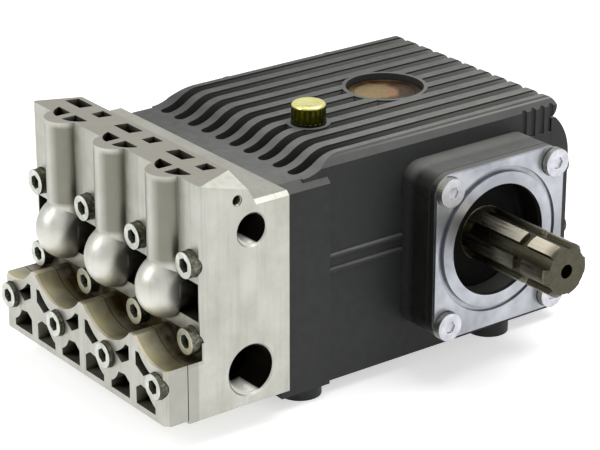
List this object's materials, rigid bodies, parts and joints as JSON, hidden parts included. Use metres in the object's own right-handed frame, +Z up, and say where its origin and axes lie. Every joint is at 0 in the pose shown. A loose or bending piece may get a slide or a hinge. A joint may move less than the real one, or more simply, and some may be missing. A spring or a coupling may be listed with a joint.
{
  "type": "triplex plunger pump",
  "caption": "High-pressure triplex plunger pump: finned crankcase, splined drive shaft with square bearing housing, and a nickel-plated head with domed valve chambers.",
  "frame": {"origin": "on the floor, at the centre of the four feet's bolt pattern", "axes": "+X along the drive shaft towards its free end, +Y from the head towards the rear cover, +Z up"},
  "size_m": [0.2886, 0.3271, 0.1685],
  "materials": {
    "painted_casting": "satin anthracite paint on a sand casting",
    "nickel_plate": "satin nickel plate on forged brass",
    "bare_aluminium": "machined",
    "shaft_steel": "turned and milled, oiled",
    "bearing_steel": "ground",
    "seal_rubber": "matte",
    "gasket_sheet": "matte",
    "plug_brass": "yellow passivated",
    "plate_brass": "tarnished",
    "washer_rubber": "matte",
    "sight_glass": "clear"
  },
  "bodies": {
    "pump": {"crankcase": "painted_casting", "rear_cover": "painted_casting", "rear_cover_gasket": "gasket_sheet", "drive_bearing_housing": "bare_aluminium", "drive_housing_gasket": "gasket_sheet", "drive_bearing": "bearing_steel", "shaft_seal": "seal_rubber", "blind_bearing_cover": "bare_aluminium", "blind_cover_gasket": "gasket_sheet", "filler_plug": "plug_brass", "filler_plug_washer": "washer_rubber", "type_plate": "plate_brass", "oil_level_glass": "sight_glass", "oil_level_ring": "bare_aluminium", "drain_plug": "plug_brass", "drain_plug_washer": "washer_rubber", "pump_head": "nickel_plate", "suction_plate": "nickel_plate", "suction_plate_gasket": "gasket_sheet"},
    "shaft": {"splined_shaft": "shaft_steel"}
  },
  "joints": [
    {"name": "shaft_turn", "type": "hinge", "parent": "pump", "child": "shaft", "pos_m": [0.175, 0.04, 0.088], "axis": [1, 0, 0], "continuous": true}
  ]
}
